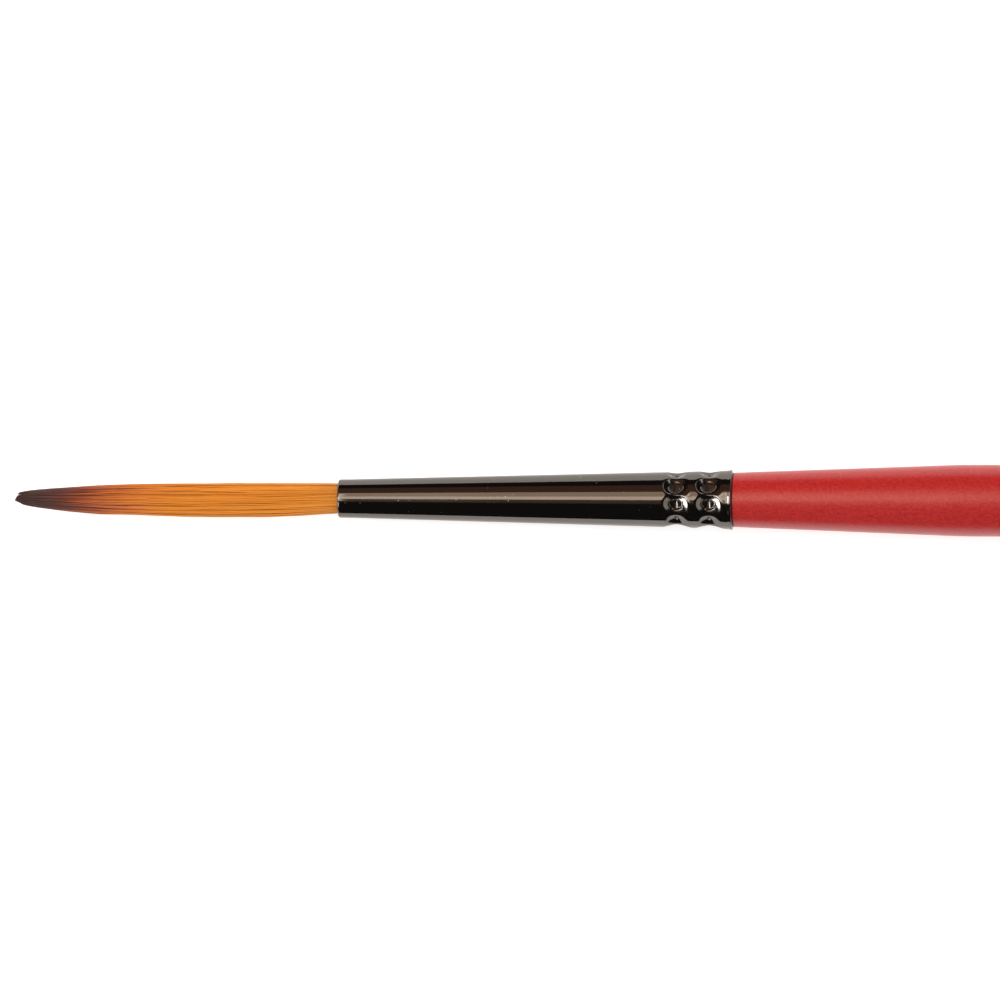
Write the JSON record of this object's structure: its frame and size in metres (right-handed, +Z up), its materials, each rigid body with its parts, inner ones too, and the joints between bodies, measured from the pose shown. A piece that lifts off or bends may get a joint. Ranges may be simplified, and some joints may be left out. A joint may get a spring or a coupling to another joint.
{
  "type": "fine detail brush",
  "caption": "Fine liner paintbrush with long pointed synthetic hair, a dark crimped tapered ferrule and a slim red lacquered wooden handle.",
  "frame": {"origin": "on the surface that the brush lies on, under the middle of its length and width", "axes": "+X along the brush from hair tip to handle tail, +Z up, +Y across"},
  "size_m": [0.192, 0.0056, 0.0057],
  "materials": {
    "wood": "turned hardwood, bare on the tang",
    "lacquer": "satin red lacquer with a fine speckle",
    "ferrule": "drawn brass with mirror-polished black nickel plate",
    "adhesive": "thin set glue",
    "hair": "golden synthetic filament, front third dyed dark brown",
    "thread": "wound binding thread",
    "epoxy": "amber setting resin"
  },
  "bodies": {
    "brush": {"handle_core": "wood", "handle_lacquer": "lacquer", "ferrule": "ferrule", "tang_adhesive": "adhesive", "filament_root": "hair", "root_binding": "thread", "root_epoxy": "epoxy"},
    "free_hair": {"tuft": "hair"}
  },
  "joints": [
    {"name": "tuft_bend", "type": "hinge", "parent": "brush", "child": "free_hair", "pos_m": [-0.0716, 0, 0.00285], "axis": [0, 0, 1], "range_deg": [-45, 45], "stiffness_Nm_per_rad": 0.0006}
  ]
}
